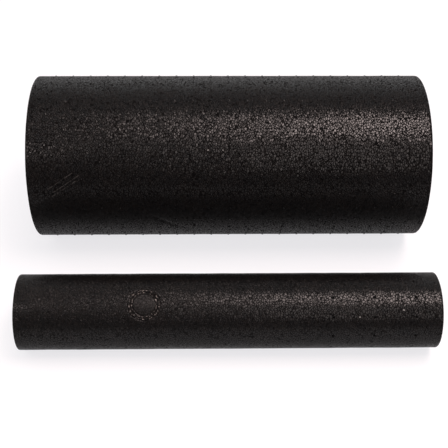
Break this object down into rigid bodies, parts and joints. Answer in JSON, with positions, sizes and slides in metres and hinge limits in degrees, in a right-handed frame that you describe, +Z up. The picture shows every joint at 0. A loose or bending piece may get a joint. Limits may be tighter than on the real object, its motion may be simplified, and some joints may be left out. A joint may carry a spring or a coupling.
{
  "type": "foam roller set",
  "caption": "Massage roller set in black bead foam: a large hollow roller with a through bore, and a slim solid roller of equal length that fits the bore.",
  "frame": {"origin": "on the ground, under the middle of the set as it lies", "axes": "+X along both rollers, +Y from the slim roller at the front to the large roller behind it, +Z up"},
  "size_m": [0.332, 0.244, 0.14],
  "materials": {
    "bead_foam": "satin moulded bead-foam skin, finely pebbled"
  },
  "bodies": {
    "large_roller": {"large_roller": "bead_foam"},
    "slim_roller": {"slim_roller": "bead_foam"}
  },
  "joints": [
    {"name": "slim_roller_spin", "type": "hinge", "parent": "large_roller", "child": "slim_roller", "pos_m": [-0.001, -0.092, 0.03], "axis": [1, 0, 0], "continuous": true}
  ]
}
